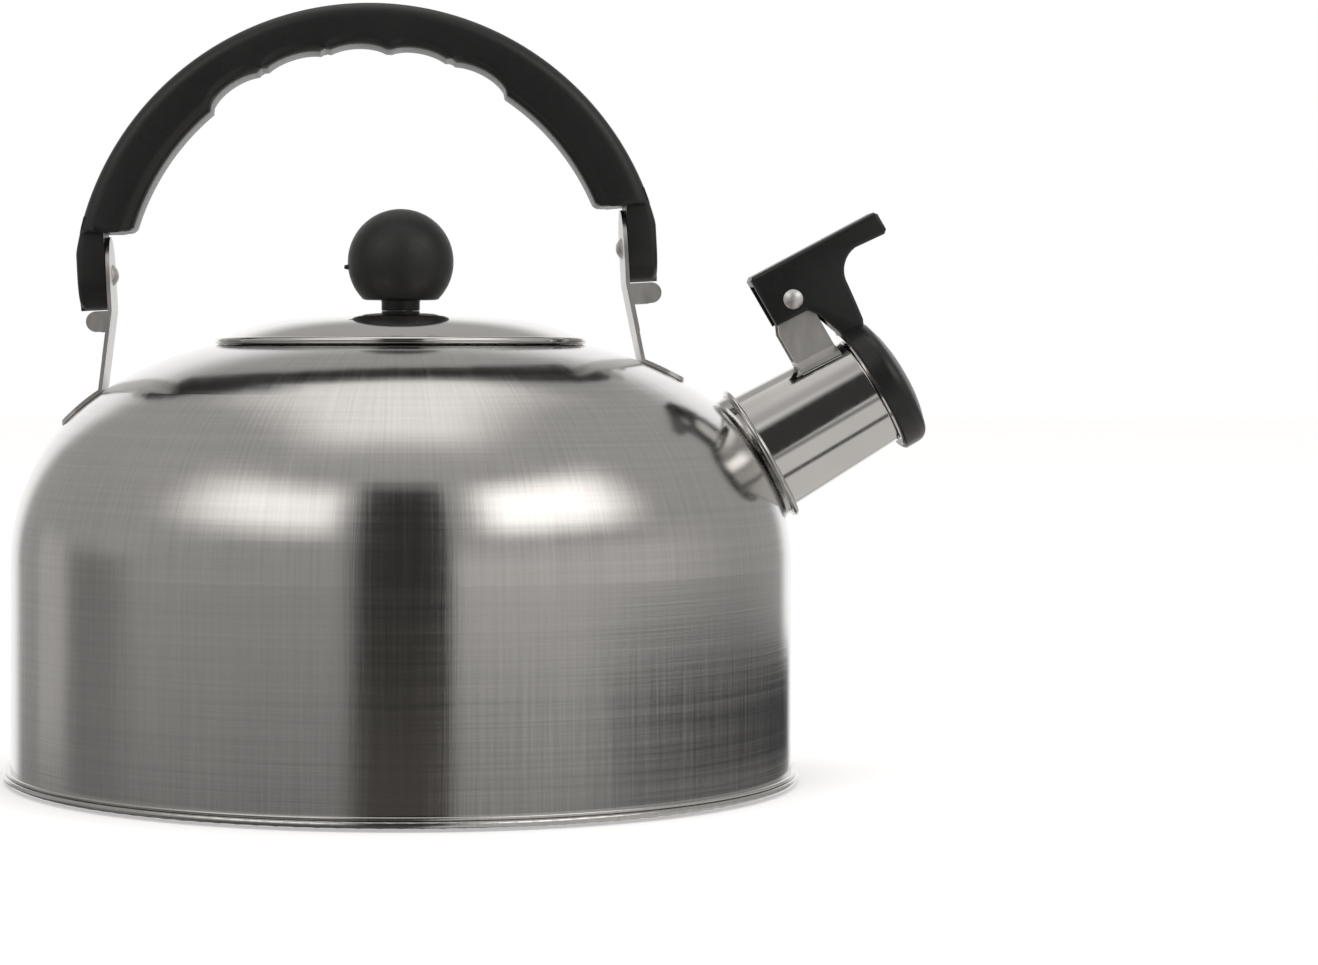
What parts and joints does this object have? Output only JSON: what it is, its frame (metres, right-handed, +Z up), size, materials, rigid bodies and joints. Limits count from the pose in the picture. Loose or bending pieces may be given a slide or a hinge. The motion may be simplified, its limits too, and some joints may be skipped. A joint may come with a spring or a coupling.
{
  "type": "stovetop whistling kettle",
  "caption": "Squat stainless kettle with a domed lid, slanted spout, flip-up whistle cap and a folding arched handle.",
  "frame": {"origin": "centre of the flat base, on the axis of the kettle's body", "axes": "+Z up along the body's axis, +X toward the spout"},
  "size_m": [0.2152, 0.185, 0.1802],
  "materials": {
    "brushed_steel": "brushed stainless steel",
    "polished_steel": "mirror-polished stainless steel",
    "handle_black": "satin black phenolic",
    "knob_black": "matte black phenolic",
    "cap_black": "satin black phenolic",
    "brass": "turned brass"
  },
  "bodies": {
    "kettle": {"body_shell": "brushed_steel", "base_plate": "brushed_steel", "spout_tube": "polished_steel", "spout_bracket": "polished_steel", "hinge_pin": "polished_steel", "cap_spring": "polished_steel", "ear_spout_side": "polished_steel", "ear_far_side": "polished_steel", "rivet_spout_side": "polished_steel", "rivet_far_side": "polished_steel", "washer_spout_side": "polished_steel", "washer_far_side": "polished_steel"},
    "handle": {"handle_grip": "handle_black"},
    "lid": {"lid_shell": "polished_steel", "lid_skirt": "polished_steel", "knob": "knob_black", "knob_insert": "brass", "knob_washer": "polished_steel", "knob_screw": "polished_steel"},
    "whistle_cap": {"cap_lever": "cap_black", "whistle_cup": "polished_steel", "whistle_plate": "polished_steel"}
  },
  "joints": [
    {"name": "handle_fold", "type": "hinge", "parent": "kettle", "child": "handle", "pos_m": [-0.0078, 0, 0.1201], "axis": [0.9986, 0, 0.0523], "range_deg": [-90, 90]},
    {"name": "lid_lift", "type": "slide", "parent": "kettle", "child": "lid", "axis": [0, 0, 1], "range_m": [0, 0.028]},
    {"name": "cap_flip", "type": "hinge", "parent": "kettle", "child": "whistle_cap", "pos_m": [0.09125, 0, 0.11135], "axis": [0, -1, 0], "range_deg": [0, 55], "stiffness_Nm_per_rad": 0.03, "springref_deg": -34.38, "deforming": ["cap_spring"]}
  ]
}
